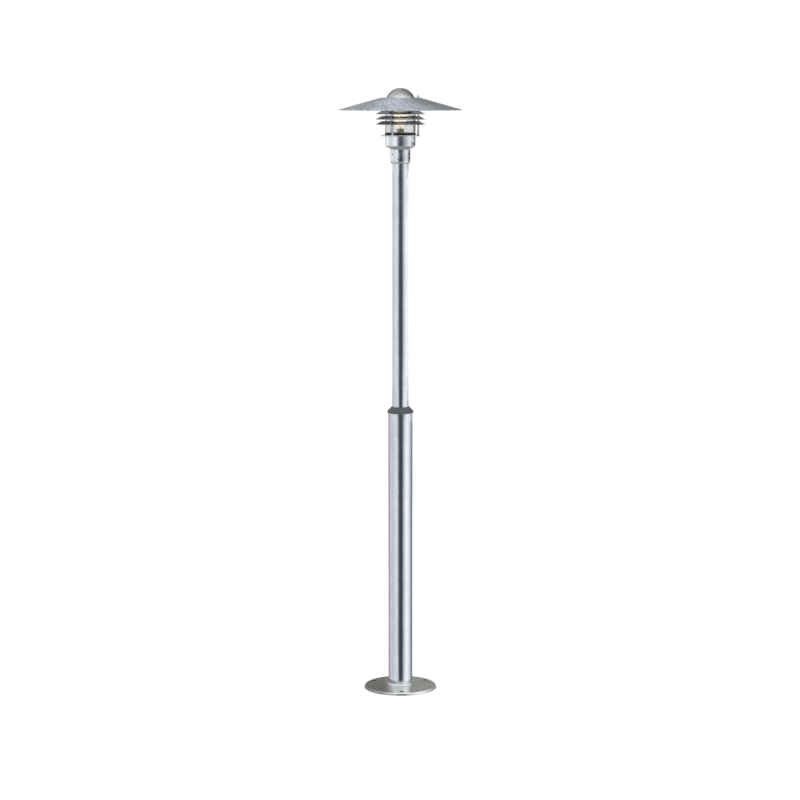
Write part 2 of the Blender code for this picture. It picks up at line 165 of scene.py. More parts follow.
def zinc(name, tone=(0.80, 0.82, 0.85), rough=0.2, grain=55.0, streak=0.0, along="Z", dirt=0.0, painted_side_shade=None,
         wave=0.7, edge=1.0, shaded_bores=()):
    """Hot-dip galvanised steel: zinc crystals, run marks along the piece and a faint bloom."""
    mat, g, bsdf = new_material(name)
    where = g.add("ShaderNodeTexCoord").outputs["Object"]
    stretch = g.add("ShaderNodeMapping", i_0=where)
    stretch.inputs["Scale"].default_value = {"Z": (1.0, 1.0, 0.55), "R": (1.0, 1.0, 1.0)}[along]
    where = stretch.outputs[0]
    warp = g.add("ShaderNodeTexNoise", i_Vector=where)
    warp.inputs["Scale"].default_value = grain * 0.6
    warp.inputs["Detail"].default_value = 2.0
    bent = g.add("ShaderNodeVectorMath", operation="MULTIPLY_ADD")
    g.tree.links.new(warp.outputs["Color"], bent.inputs[0])
    bent.inputs[1].default_value = (0.012, 0.012, 0.012)
    g.tree.links.new(where, bent.inputs[2])
    crystals = g.add("ShaderNodeTexVoronoi", i_Vector=bent.outputs[0])
    crystals.inputs["Scale"].default_value = grain
    pick = g.add("ShaderNodeSeparateColor", i_0=crystals.outputs["Color"])
    small = g.add("ShaderNodeTexVoronoi", i_Vector=bent.outputs[0])
    small.inputs["Scale"].default_value = grain * 2.7
    pick2 = g.add("ShaderNodeSeparateColor", i_0=small.outputs["Color"])
    cell = g.math("ADD", g.math("MULTIPLY", pick.outputs[0], 0.65), g.math("MULTIPLY", pick2.outputs[1], 0.35))
    bloom = g.add("ShaderNodeTexNoise", i_Vector=where)
    bloom.inputs["Scale"].default_value = 9.0
    bloom.inputs["Detail"].default_value = 6.0
    bloom.inputs["Roughness"].default_value = 0.62
    fine = g.add("ShaderNodeTexNoise", i_Vector=where)
    fine.inputs["Scale"].default_value = 420.0
    fine.inputs["Detail"].default_value = 3.0
    level = g.math("ADD", g.remap(cell, 0.0, 1.0, -0.055, 0.055),
                   g.remap(bloom.outputs[0], 0.3, 0.7, -0.045, 0.045))
    height = g.math("MULTIPLY", cell, 0.35)
    if streak:
        # run marks that lean across the shade, in (bearing, radius) coordinates
        split = g.add("ShaderNodeSeparateXYZ", i_0=g.add("ShaderNodeTexCoord").outputs["Object"])
        x, y = split.outputs[0], split.outputs[1]
        bearing = g.math("ARCTAN2", x, g.math("MULTIPLY", y, -1.0))
        radius = g.math("SQRT", g.math("ADD", g.math("MULTIPLY", x, x), g.math("MULTIPLY", y, y)))
        # a spiral line: radius grows as the bearing turns
        turn = g.math("SUBTRACT", bearing, g.math("MULTIPLY", radius, 3.0))
        lean = g.add("ShaderNodeCombineXYZ", i_0=g.math("MULTIPLY", g.math("SINE", turn), 8.0),
                     i_1=g.math("MULTIPLY", g.math("COSINE", turn), 8.0),
                     i_2=g.math("MULTIPLY", radius, 9.0))
        runs = g.add("ShaderNodeTexNoise", i_Vector=lean.outputs[0])
        runs.inputs["Scale"].default_value = 2.2
        runs.inputs["Detail"].default_value = 4.0
        runs.inputs["Roughness"].default_value = 0.62
        level = g.math("ADD", level, g.remap(runs.outputs[0], 0.36, 0.66, -streak, streak))
        height = g.math("ADD", height, g.math("MULTIPLY", runs.outputs[0], 1.6))
    value = g.math("ADD", level, 1.0)
    base = g.mix(1.0, tone, g.add("ShaderNodeCombineColor", i_0=value, i_1=value, i_2=value).outputs[0],
                 "MULTIPLY")
    if painted_side_shade:
        # painted shade: the plate is darkened towards an olive grey on its -X side, standing in for the darker
        # reflection on that side
        side = g.add("ShaderNodeSeparateXYZ", i_0=g.add("ShaderNodeTexCoord").outputs["Object"])
        reach = g.math("ADD", side.outputs[0], g.remap(bloom.outputs[0], 0.3, 0.7, -0.012, 0.012))
        shade_of = g.remap(reach, -0.062, -0.026, painted_side_shade[0], painted_side_shade[1])
        base = g.mix(1.0, base, g.add("ShaderNodeCombineColor", i_0=shade_of, i_1=shade_of,
                                      i_2=g.math("MULTIPLY", shade_of, 0.97)).outputs[0], "MULTIPLY")
    if shaded_bores:
        # painted shade: the walls of the anchor holes are darkened to near black, standing in for the shadow
        # inside them
        flat = g.add("ShaderNodeSeparateXYZ", i_0=g.add("ShaderNodeTexCoord").outputs["Object"])
        near = None
        for bx, by in shaded_bores:
            dx, dy = g.math("SUBTRACT", flat.outputs[0], bx), g.math("SUBTRACT", flat.outputs[1], by)
            off = g.math("SQRT", g.math("ADD", g.math("MULTIPLY", dx, dx), g.math("MULTIPLY", dy, dy)))
            near = off if near is None else g.math("MINIMUM", near, off)
        bore_shade = g.remap(near, 0.0066, 0.0070, 0.05, 1.0)
        base = g.mix(1.0, base, g.add("ShaderNodeCombineColor", i_0=bore_shade, i_1=bore_shade, i_2=bore_shade).outputs[0],
                     "MULTIPLY")
    if dirt:
        soil = g.ramp(bloom.outputs[0], [(0.35, 0.0), (0.75, dirt)])
        base = g.mix(soil, base, (0.36, 0.35, 0.30))
    shine = g.math("ADD", g.remap(pick2.outputs[0], 0.0, 1.0, rough * 0.8, rough * 1.2),
                   g.remap(bloom.outputs[0], 0.3, 0.75, -0.03, 0.05))
    bump = g.add("ShaderNodeBump", i_Strength=0.06, i_Distance=0.001)
    g.tree.links.new(g.math("ADD", height, g.math("MULTIPLY", fine.outputs[0], 0.12)), bump.inputs["Height"])
    swell = g.add("ShaderNodeTexNoise", i_Vector=where)
    swell.inputs["Scale"].default_value = 13.0
    swell.inputs["Detail"].default_value = 2.0
    soft = g.add("ShaderNodeBump", i_Strength=1.0, i_Distance=wave * 0.001, i_Height=swell.outputs[0])
    g.tree.links.new(soft.outputs[0], bump.inputs["Normal"])
    put(g, bsdf, Base_Color=base, Metallic=1.0, Roughness=shine, Normal=bump.outputs[0])
    bsdf.inputs["Specular Tint"].default_value = (edge, edge, edge * 0.98, 1.0)
    return mat


def plain(name, colour, rough, metal=0.0, speck=0.06, scale=300.0, bump=0.05, coat=0.0, sheen=0.0):
    """Cast, moulded or drawn stuff: a fine grain in the colour, the shine and the surface."""
    mat, g, bsdf = new_material(name)
    where = g.add("ShaderNodeTexCoord").outputs["Object"]
    grain = g.add("ShaderNodeTexNoise", i_Vector=where)
    grain.inputs["Scale"].default_value = scale
    grain.inputs["Detail"].default_value = 4.0
    patch = g.add("ShaderNodeTexNoise", i_Vector=where)
    patch.inputs["Scale"].default_value = scale * 0.06
    patch.inputs["Detail"].default_value = 3.0
    value = g.math("ADD", g.remap(grain.outputs[0], 0.3, 0.7, 1 - speck, 1 + speck),
                   g.remap(patch.outputs[0], 0.3, 0.7, -speck, speck))
    base = g.mix(1.0, colour, g.add("ShaderNodeCombineColor", i_0=value, i_1=value, i_2=value).outputs[0],
                 "MULTIPLY")
    shine = g.remap(patch.outputs[0], 0.3, 0.7, rough * 0.88, min(1.0, rough * 1.15))
    rise = g.add("ShaderNodeBump", i_Strength=bump, i_Distance=0.0005, i_Height=grain.outputs[0])
    put(g, bsdf, Base_Color=base, Metallic=metal, Roughness=shine, Normal=rise.outputs[0])
    bsdf.inputs["Coat Weight"].default_value = coat
    bsdf.inputs["Sheen Weight"].default_value = sheen
    return mat


def glass(name, colour, rough=0.0, ior=1.5, wave=0.0, edge=0.0):
    mat, g, bsdf = new_material(name)
    where = g.add("ShaderNodeTexCoord").outputs["Object"]
    haze = g.add("ShaderNodeTexNoise", i_Vector=where)
    haze.inputs["Scale"].default_value = 30.0
    haze.inputs["Detail"].default_value = 3.0
    tint = g.mix(g.remap(haze.outputs[0], 0.35, 0.7, 0.0, 1.0), colour,
                 tuple(min(1.0, c * 1.02) for c in colour))
    if edge:
        # looking along the wall there is more glass to see through
        along = g.add("ShaderNodeLayerWeight")
        along.inputs["Blend"].default_value = 0.5
        # painted shade: the outline is darkened more towards +X, and more again on the dome's band from 2.164 to
        # 2.176 m high, standing in for the dark edge the dome shows on that side
        side = g.add("ShaderNodeSeparateXYZ", i_0=where)
        facing = g.math("ADD", along.outputs["Facing"], g.remap(side.outputs[0], -0.030, 0.045, -0.02, 0.10))
        facing = g.math("ADD", facing, g.math("MULTIPLY", g.remap(side.outputs[2], 2.164, 2.176, 0.0, 1.0),
                                              g.remap(side.outputs[0], -0.030, 0.045, 0.16, 0.30)))
        tint = g.mix(g.ramp(facing, [(0.50, 0.0), (0.90, edge)]), tint, (0.022, 0.023, 0.022))
    put(g, bsdf, Base_Color=tint, Roughness=rough)
    bsdf.inputs["IOR"].default_value = ior
    bsdf.inputs["Transmission Weight"].default_value = 1.0
    if wave:
        bump = g.add("ShaderNodeBump", i_Strength=wave, i_Distance=0.001, i_Height=haze.outputs[0])
        put(g, bsdf, Normal=bump.outputs[0])
    return mat


def glow(name, colour, strength):
    mat, g, bsdf = new_material(name)
    where = g.add("ShaderNodeTexCoord").outputs["Object"]
    beads = g.add("ShaderNodeTexNoise", i_Vector=where)
    beads.inputs["Scale"].default_value = 700.0
    hot = g.mix(g.remap(beads.outputs[0], 0.35, 0.65, 0.0, 1.0), colour,
                tuple(min(1.0, c * 1.15) for c in colour))
    put(g, bsdf, Base_Color=hot, Roughness=0.4, Emission_Color=hot)
    bsdf.inputs["Emission Strength"].default_value = strength
    return mat


def pearl(name, colour, light, strength):
    """Warm frosted glass, lit from inside."""
    mat, g, bsdf = new_material(name)
    where = g.add("ShaderNodeTexCoord").outputs["Object"]
    cloud = g.add("ShaderNodeTexNoise", i_Vector=where)
    cloud.inputs["Scale"].default_value = 60.0
    cloud.inputs["Detail"].default_value = 3.0
    hue = g.mix(g.remap(cloud.outputs[0], 0.3, 0.7, 0.0, 1.0), colour, tuple(c * 0.93 for c in colour))
    put(g, bsdf, Base_Color=hue, Roughness=0.18, Emission_Color=light)
    bsdf.inputs["IOR"].default_value = 1.45
    bsdf.inputs["Transmission Weight"].default_value = 0.72
    bsdf.inputs["Emission Strength"].default_value = strength
    return mat


M = {
    "tube": zinc("zinc_post_tube", rough=0.085, grain=42.0, wave=1.0),
    "head": zinc("zinc_head", rough=0.085, grain=70.0, along="R", wave=1.3),
    "shade": zinc("zinc_shade", tone=(0.66, 0.70, 0.76), rough=0.24, grain=60.0, streak=0.34, along="R", edge=0.9),
    "ring": zinc("zinc_rings", tone=(0.50, 0.52, 0.55), rough=0.2, grain=80.0, along="R"),
    # painted light: the top ring's zinc is a lighter-toned copy of the rings' zinc, standing in for the brighter
    # reflection the top ring shows
    "lit_top_ring": zinc("zinc_ring_top", tone=(0.72, 0.72, 0.74), rough=0.12, grain=80.0, along="R"),
    "base": zinc("zinc_base", tone=(0.94, 0.95, 0.92), rough=0.22, grain=60.0, along="R", dirt=0.07,
                 # painted shade: the base plate is darkened towards olive grey on its -X side
                 painted_side_shade=(0.42, 1.0), edge=0.75,
                 # painted shade: the anchor-hole walls are darkened
                 shaded_bores=[(0.110 * math.cos(math.radians(a)), 0.110 * math.sin(math.radians(a)))
                        for a in (-87.0, 33.0, 153.0)]),
    "inside": zinc("zinc_inside", tone=(0.6, 0.61, 0.62), rough=0.4, grain=50.0, along="R"),
    "collar": plain("collar_moulding", (0.090, 0.097, 0.108), 0.48, speck=0.10, scale=500.0, bump=0.12),
    "rubber": plain("black_rubber", (0.006, 0.006, 0.0065), 0.55, speck=0.15, scale=600.0, bump=0.15),
    "steel": plain("bright_steel", (0.62, 0.62, 0.61), 0.22, metal=1.0, scale=900.0, bump=0.03),
    "blackened": plain("blackened_steel", (0.035, 0.035, 0.038), 0.45, metal=1.0, scale=900.0, bump=0.05),
    "brass": plain("brass", (0.78, 0.58, 0.27), 0.28, metal=1.0, scale=700.0, bump=0.03),
    "cap": plain("bulb_cap_brass", (0.66, 0.60, 0.54), 0.09, metal=1.0, speck=0.12, scale=500.0, bump=0.04),
    "tin": plain("solder_tin", (0.62, 0.61, 0.58), 0.38, metal=1.0, speck=0.12, scale=700.0, bump=0.1),
    "vitrite": plain("black_glass", (0.01, 0.01, 0.012), 0.12, coat=0.4, scale=300.0, bump=0.02),
    "porcelain": plain("porcelain", (0.78, 0.76, 0.70), 0.22, coat=0.5, speck=0.03, scale=200.0, bump=0.02),
    "block": plain("terminal_moulding", (0.72, 0.71, 0.66), 0.42, speck=0.03, scale=400.0),
    "brown": plain("brown_sleeving", (0.16, 0.065, 0.03), 0.42, scale=500.0),
    "blue": plain("blue_sleeving", (0.03, 0.09, 0.38), 0.42, scale=500.0),
    "globe": glass("globe_glass", (0.98, 0.975, 0.955), ior=1.5, wave=0.02, edge=0.9),
    "bulbglass": pearl("bulb_glass", (0.88, 0.83, 0.75), (1.0, 0.96, 0.89), 0.20),
    "stem": glass("stem_glass", (0.98, 0.96, 0.90), ior=1.5),
    "filament": glow("filament_glow", (0.80, 0.66, 0.46), 0.12),
    "lead": plain("lead_wire", (0.55, 0.50, 0.42), 0.35, metal=1.0, scale=900.0),
}


# ------------------------------------------------------------------- geometry
def link(name, bm, mat, sharp=30.0):
    bmesh.ops.remove_doubles(bm, verts=bm.verts, dist=2e-7)
    bmesh.ops.dissolve_degenerate(bm, edges=bm.edges, dist=1e-7)
    bmesh.ops.recalc_face_normals(bm, faces=bm.faces)
    if bm.calc_volume(signed=True) < 0:
        bmesh.ops.reverse_faces(bm, faces=bm.faces)
    mesh = bpy.data.meshes.new(name)
    bm.to_mesh(mesh)
    bm.free()
    mesh.shade_smooth()
    mesh.set_sharp_from_angle(angle=math.radians(sharp))
    mesh.materials.append(mat)
    ob = bpy.data.objects.new(name, mesh)
    bpy.context.scene.collection.objects.link(ob)
    return ob


def fillet(points, radii, steps=6):
    out = []
    count = len(points)
    for i, p in enumerate(points):
        r = radii.get(i, 0.0)
        if r <= 0.0:
            out.append(tuple(p))
            continue
        p = Vector(p)
        a = Vector(points[i - 1]) - p
        b = Vector(points[(i + 1) % count]) - p
        ua, ub = a.normalized(), b.normalized()
        half = ua.angle(ub) / 2.0
        reach = min(r / math.tan(half), 0.49 * a.length, 0.49 * b.length)
        rr = reach * math.tan(half)
        mid = p + (ua + ub).normalized() * (rr / math.sin(half))
        start = p + ua * reach - mid
        end = p + ub * reach - mid
        turn = start.angle_signed(end)
        for k in range(steps + 1):
            t = -turn * k / steps
            out.append((mid.x + start.x * math.cos(t) - start.y * math.sin(t),
                        mid.y + start.x * math.sin(t) + start.y * math.cos(t)))
    return out


def held(outline, reach=0.5):
    """Adds a point near both ends of each long run, so smooth shading keeps the run straight."""
    out = []
    for i, a in enumerate(outline):
        b = outline[(i + 1) % len(outline)]
        out.append(a)
        long = math.hypot(b[0] - a[0], b[1] - a[1])
        if long > 5 * reach:
            for t in (reach / long, 1.0 - reach / long):
                out.append((a[0] + (b[0] - a[0]) * t, a[1] + (b[1] - a[1]) * t))
    return out


def turned(name, outline, segs, mat, at=(0.0, 0.0), wobble=None, sharp=30.0):
    """A closed outline of (radius, z) in mm, turned about a vertical axis through at."""
    bm = bmesh.new()
    rows = []
    outline = held(outline)
    for r, z in outline:
        if r < 1e-6:
            rows.append([bm.verts.new((at[0] * MM, at[1] * MM, z * MM))])
            continue
        row = []
        for k in range(segs):
            a = 2 * math.pi * k / segs
            rr, zz = (r, z) if wobble is None else wobble(r, z, a)
            row.append(bm.verts.new(((at[0] + rr * math.cos(a)) * MM,
                                     (at[1] + rr * math.sin(a)) * MM, zz * MM)))
        rows.append(row)
    for i, a in enumerate(rows):
        b = rows[(i + 1) % len(rows)]
        if len(a) == 1 and len(b) == 1:
            continue
        for k in range(segs):
            m = (k + 1) % segs
            if len(a) == 1:
                bm.faces.new((a[0], b[k], b[m]))
            elif len(b) == 1:
                bm.faces.new((a[k], b[0], a[m]))
            else:
                bm.faces.new((a[k], b[k], b[m], a[m]))
    return link(name, bm, mat, sharp)


def ringed(name, rings, mat, closed=False, sharp=25.0, place=None):
    bm = bmesh.new()
    rows = [[bm.verts.new(Vector(p) * MM) for p in ring] for ring in rings]
    pairs = list(zip(rows, rows[1:]))
    if closed:
        pairs.append((rows[-1], rows[0]))
    for a, b in pairs:
        n = max(len(a), len(b))
        for k in range(n):
            m = (k + 1) % n
            if len(a) == 1:
                bm.faces.new((a[0], b[m], b[k]))
            elif len(b) == 1:
                bm.faces.new((a[k], a[m], b[0]))
            else:
                bm.faces.new((a[k], a[m], b[m], b[k]))
    if place is not None:
        bmesh.ops.transform(bm, matrix=place, verts=bm.verts)
    return link(name, bm, mat, sharp)


def smooth_path(points, per=8):
    """A Catmull-Rom line through the points."""
    pts = [Vector(p) for p in points]
    pts = [2 * pts[0] - pts[1], *pts, 2 * pts[-1] - pts[-2]]
    out = []
    for i in range(1, len(pts) - 2):
        p0, p1, p2, p3 = pts[i - 1:i + 3]
        for k in range(per):
            t = k / per
            out.append(0.5 * (2 * p1 + (p2 - p0) * t + (2 * p0 - 5 * p1 + 4 * p2 - p3) * t * t
                              + (3 * p1 - p0 - 3 * p2 + p3) * t ** 3))
    out.append(pts[-2])
    return out


def swept(name, path, r, sides, mat, closed=False):
    pts = [Vector(p) * MM for p in path]
    bm = bmesh.new()
    rows, normal = [], None
    for i, p in enumerate(pts):
        before = (p - pts[i - 1]).normalized() if i or closed else None
        after = (pts[(i + 1) % len(pts)] - p).normalized() if i + 1 < len(pts) or closed else None
        way = ((before or after) + (after or before)).normalized()
        if normal is None:
            normal = way.orthogonal().normalized()
        normal = (normal - way * normal.dot(way)).normalized()
        side = way.cross(normal)
        rad = r[i] if isinstance(r, list) else r
        rows.append([bm.verts.new(p + (normal * math.cos(a) + side * math.sin(a)) * rad * MM)
                     for a in (2 * math.pi * k / sides for k in range(sides))])
    pairs = list(zip(rows, rows[1:])) + ([(rows[-1], rows[0])] if closed else [])
    for a, b in pairs:
        for k in range(sides):
            m = (k + 1) % sides
            bm.faces.new((a[k], a[m], b[m], b[k]))
    if not closed:
        bm.faces.new(rows[0])
        bm.faces.new(list(reversed(rows[-1])))
    return link(name, bm, mat, 40.0)


def drill(ob, holes, segs=48):
    """Cut round holes, each (start, end, radius) in mm, and apply the cut."""
    bm = bmesh.new()
    for start, end, r in holes:
        a, b = Vector(start) * MM, Vector(end) * MM
        turn = (b - a).to_track_quat("Z", "Y").to_matrix().to_4x4()
        bmesh.ops.create_cone(bm, cap_ends=True, segments=segs, radius1=r * MM, radius2=r * MM,
                              depth=(b - a).length, matrix=Matrix.Translation((a + b) / 2) @ turn)
    mesh = bpy.data.meshes.new("drill")
    bm.to_mesh(mesh)
    bm.free()
    tool = bpy.data.objects.new("drill", mesh)
    bpy.context.scene.collection.objects.link(tool)
    mod = ob.modifiers.new("drill", "BOOLEAN")
    mod.operation = "DIFFERENCE"
    mod.solver = "EXACT"
    mod.object = tool
    bpy.context.view_layer.update()
    graph = bpy.context.evaluated_depsgraph_get()
    done = bpy.data.meshes.new_from_object(ob.evaluated_get(graph))
    ob.modifiers.clear()
    ob.data = done
    done.shade_smooth()
    done.set_sharp_from_angle(angle=math.radians(30.0))
    bpy.data.objects.remove(tool, do_unlink=True)


def stands_for(piece, body, slot, *nodes):
    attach(piece, body)
    if nodes:
        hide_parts(*nodes)
    return piece


def polar(r, degrees):
    return (r * math.cos(math.radians(degrees)), r * math.sin(math.radians(degrees)))


# ----------------------------------------------------------------------- post
base_r = rmax("base_flange")
tube_r = rmax("lower_post_tube")
anchor_angles = (-87.0, 33.0, 153.0)
base = turned("base_plate_dished", fillet([
    (127.0, 0.0), (base_r, 0.0), (base_r, 8.2), (118.0, 8.9), (85.0, 10.6), (49.0, 12.4),
    (47.6, 13.2), (tube_r + 0.12, 15.9), (tube_r + 0.12, 8.4), (60.0, 7.8), (118.0, 4.9),
    (127.0, 3.5)], {1: 0.5, 2: 6.9, 3: 8.0, 4: 60.0, 6: 1.6, 10: 8.0}, steps=10), 256, M["base"], sharp=40.0)
drill(base, [((*polar(110.0, a), -5.0), (*polar(110.0, a), 25.0), 6.5) for a in anchor_angles])
stands_for(base, "post", "galvanised", "base_flange")


def ripple(r, z, a):
    """The small even waves of a machine weld."""
    if r < tube_r + 0.3:
        return r, z
    return r + 0.04 * math.sin(46 * a) + 0.04 * math.sin(17 * a + 1.0), z + 0.03 * math.cos(46 * a)


weld = turned("base_weld", [
    (tube_r + 0.05, 15.6), (tube_r + 2.6, 13.4), (tube_r + 3.5, 13.6), (tube_r + 3.2, 15.0),
    (tube_r + 2.2, 16.5), (tube_r + 1.1, 17.6), (tube_r + 0.3, 18.3), (tube_r + 0.05, 18.4)],
    368, M["head"], wobble=ripple, sharp=60.0)
stands_for(weld, "post", "galvanised")


def pipe(name, node, wall, edge=0.5):
    low, high, r = z0(node), z1(node), rmax(node)
    return turned(name, fillet([(r - wall, low), (r, low), (r, high), (r - wall, high)],
                               {0: edge, 1: edge, 2: edge, 3: edge}, steps=3), 160, M["tube"])


stands_for(pipe("lower_tube", "lower_post_tube", 3.2), "post", "galvanised", "lower_post_tube")
stands_for(pipe("upper_tube", "upper_post_tube", 2.9), "post", "galvanised", "upper_post_tube")

upper_r = rmax("upper_post_tube")
ctop, cskirt = z1("transition_collar"), z0("transition_collar")
stands_for(turned("collar", fillet([
    (upper_r + 0.1, z1("lower_post_tube") + 0.3), (upper_r + 0.1, ctop), (31.6, ctop),
    (47.8, 1031.5), (47.8, cskirt + 3.0), (46.2, cskirt), (tube_r + 0.1, cskirt),
    (tube_r + 0.1, z1("lower_post_tube") + 0.3)],
    {2: 0.7, 3: 2.4, 4: 1.2, 5: 0.8}, steps=6), 160, M["collar"], sharp=50.0),
    "post", "collar_plastic", "transition_collar")

# ----------------------------------------------------------------------- head
grub_angles = (-145.0, -25.0, 95.0)
grub_z = (z0("grub_screw_a") + z1("grub_screw_a")) / 2
s0, s1 = z0("post_sleeve"), z1("post_sleeve")
sleeve = turned("sleeve", fillet([
    (upper_r + 0.15, s0 + 1.2), (upper_r + 0.15, s0), (31.6, s0), (34.4, s0 + 1.8),
    (35.75, s0 + 8.0), (35.75, s1), (upper_r + 0.35, s1)],
    {2: 1.2, 3: 5.0, 4: 6.0, 5: 0.25}, steps=8), 160, M["head"], sharp=50.0)
drill(sleeve, [((*polar(27.0, a), grub_z), (*polar(42.0, a), grub_z), 3.25) for a in grub_angles])
stands_for(sleeve, "head", "galvanised", "post_sleeve")

for tag, angle in zip("abc", grub_angles):
    node = "grub_screw_" + tag
    tip, out = 30.7, 35.3
    rings = [[(0.0, 0.0, tip)]]
    for r, d in ((1.6, tip), (2.2, tip + 0.3), (2.2, tip + 0.7)):
        rings.append([(r * math.cos(math.radians(15 * k)), r * math.sin(math.radians(15 * k)), d)
                      for k in range(24)])
    threads = 5
    for step in range(threads * 2 + 1):
        d = tip + 0.9 + (out - tip - 1.3) * step / (threads * 2)
        r = 2.9 if step % 2 else 2.55
        rings.append([(r * math.cos(math.radians(15 * k)), r * math.sin(math.radians(15 * k)), d)
                      for k in range(24)])

    def hexa(flats, d):
        ring = []
        for k in range(24):
            a = math.radians(15 * k)
            near = math.radians(((15 * k + 30) % 60) - 30)
            r = flats / 2 / math.cos(near)
            ring.append((r * math.cos(a), r * math.sin(a), d))
        return ring
    rings += [[(2.3 * math.cos(math.radians(15 * k)), 2.3 * math.sin(math.radians(15 * k)), out)
               for k in range(24)], hexa(3.0, out), hexa(3.0, out - 2.4), [(0.0, 0.0, out - 2.9)]]
    place = Matrix.Translation((0, 0, grub_z * MM)) @ Matrix.Rotation(math.radians(angle), 4, "Z") \
        @ Matrix.Rotation(math.radians(90), 4, "Y")
    stands_for(ringed("set_screw_" + tag, rings, M["blackened"], place=place),
               "grub_screw_" + tag, "stainless", node)

c0, c1 = z0("housing_cup"), z1("housing_cup")
stands_for(turned("cup", fillet([
    (10.5, c0), (36.0, c0), (54.3, 1992.2), (54.3, c1 + 0.15), (52.3, c1 + 0.15), (52.3, 1993.4),
    (35.5, c0 + 2.5), (10.5, c0 + 2.5)], {1: 1.0, 2: 4.0, 5: 2.5}, steps=8), 192, M["head"], sharp=50.0),
    "head", "galvanised", "housing_cup")

rod_nodes = {t: centre("tie_rod_" + t) for t in "abc"}
p0, p1 = z0("glass_seat_plate"), z1("glass_seat_plate")
seat = turned("seat_plate", fillet([(24.0, p0), (70.5, p0), (70.5, p1), (24.0, p1)],
                                   {1: 0.9, 2: 0.9, 3: 0.4}, steps=4), 192, M["head"])
drill(seat, [((*rod_nodes[t], p0 - 5), (*rod_nodes[t], p1 + 5), 2.85) for t in "abc"], 24)
stands_for(seat, "head", "galvanised", "glass_seat_plate")

g0, g1 = z0("glass_gasket"), z1("glass_gasket")
stands_for(turned("gasket", fillet([
    (44.0, g0 - 0.2), (55.3, g0 - 0.2), (55.5, g1 + 1.9), (54.75, g1 + 1.9), (54.65, g1), (44.0, g1)],
    {1: 1.2, 2: 0.35, 3: 0.3, 4: 0.3, 5: 1.2}, steps=5), 160, M["rubber"]), "head", "seal_rubber", "glass_gasket")

louvre_r = rmax("louvre_ring_1")
for n in (1, 2, 3):
    node = "louvre_ring_%d" % n
    low, top = z0(node), z1(node)
    ring = turned("louvre_%d" % n, fillet([
        (58.0, top - 1.5), (67.8, top - 1.5), (louvre_r - 1.2, low + 0.1), (louvre_r, low + 0.1),
        (louvre_r, low + 1.2), (68.4, top), (58.0, top)],
        {0: 0.4, 1: 9.0, 2: 0.3, 3: 0.5, 4: 0.5, 5: 10.5, 6: 0.4}, steps=7), 192,
        # the top ring takes the lighter zinc, which is painted light
        M["lit_top_ring" if n == 1 else "ring"], sharp=50.0)
    drill(ring, [((*rod_nodes[t], low - 5), (*rod_nodes[t], top + 5), 2.85) for t in "abc"], 24)
    stands_for(ring, "head", "galvanised", node)


def circle(at, r, z, n=24):
    return [(at[0] + r * math.cos(2 * math.pi * k / n), at[1] + r * math.sin(2 * math.pi * k / n), z)
            for k in range(n)]


def hexring(at, flats, z, spin=0.0, n=24, limit=None):
    ring = []
    for k in range(n):
        a = 2 * math.pi * k / n
        near = (a + math.pi / 6) % (math.pi / 3) - math.pi / 6
        r = flats / 2 / math.cos(near)
        if limit:
            r = min(r, limit)
        ring.append((at[0] + r * math.cos(a + spin), at[1] + r * math.sin(a + spin), z))
    return ring


for t in "abc":
    at = rod_nodes[t]
    spin = {"a": 0.17, "b": 0.22, "c": 0.12}[t]
    low, high = z0("tie_rod_" + t), z1("tie_rod_" + t)
    outline = [(0.0, low), (1.9, low), (2.45, low + 0.6)]
    z = low + 0.8
    while z < low + 12.0:
        outline += [(2.45, z), (2.15, z + 0.4)]
        z += 0.8
    outline += [(2.45, z), (2.45, high - 0.6), (1.9, high), (0.0, high)]
    stands_for(turned("rod_" + t, outline, 24, M["steel"], at=at), "head", "stainless", "tie_rod_" + t)
    for k in (1, 2, 3, 4):
        node = "spacer_%s%d" % (t, k)
        low, high = z0(node), z1(node)
        stands_for(turned("spacer_tube_%s%d" % (t, k), fillet([
            (2.65, low - 0.2), (3.5, low - 0.2), (3.5, high + 0.2), (2.65, high + 0.2)],
            {1: 0.3, 2: 0.3}, steps=2), 32, M["steel"], at=at), "head", "stainless", node)
    low, high = z0("foot_nut_" + t), z1("foot_nut_" + t)
    stands_for(ringed("foot_nut_fine_" + t, [
        circle(at, 2.6, low + 0.3), circle(at, 3.0, low - 0.2), circle(at, 3.8, low - 0.2),
        hexring(at, 8.0, low + 0.3, spin, limit=4.3), hexring(at, 8.0, low + 0.7, spin),
        hexring(at, 8.0, high - 0.9, spin), hexring(at, 8.0, high - 0.5, spin, limit=4.3),
        circle(at, 3.7, high), circle(at, 3.0, high), circle(at, 2.6, high - 0.4)],
        M["steel"], closed=True), "head", "stainless", "foot_nut_" + t)
    low, high = z0("cap_nut_" + t), z1("cap_nut_" + t)
    dome = []
    for k in range(1, 8):
        a = math.pi / 2 * k / 8
        dome.append(circle(at, 3.75 * math.cos(a), high - 4.3 + 4.3 * math.sin(a)))
    stands_for(ringed("acorn_nut_" + t, [
        [(at[0], at[1], low + 6.4)], circle(at, 2.75, low + 6.0), circle(at, 2.75, low + 0.2),
        circle(at, 3.1, low - 0.2), circle(at, 4.7, low - 0.2), circle(at, 4.9, low + 0.1),
        circle(at, 4.9, low + 0.7), circle(at, 4.6, low + 1.0), hexring(at, 8.0, low + 1.3, spin, limit=4.35),
        hexring(at, 8.0, low + 1.7, spin), hexring(at, 8.0, low + 4.1, spin),
        hexring(at, 8.0, low + 4.5, spin, limit=4.3), circle(at, 3.8, low + 4.9), *dome,
        [(at[0], at[1], high)]], M["steel"]), "shade", "stainless", "cap_nut_" + t)

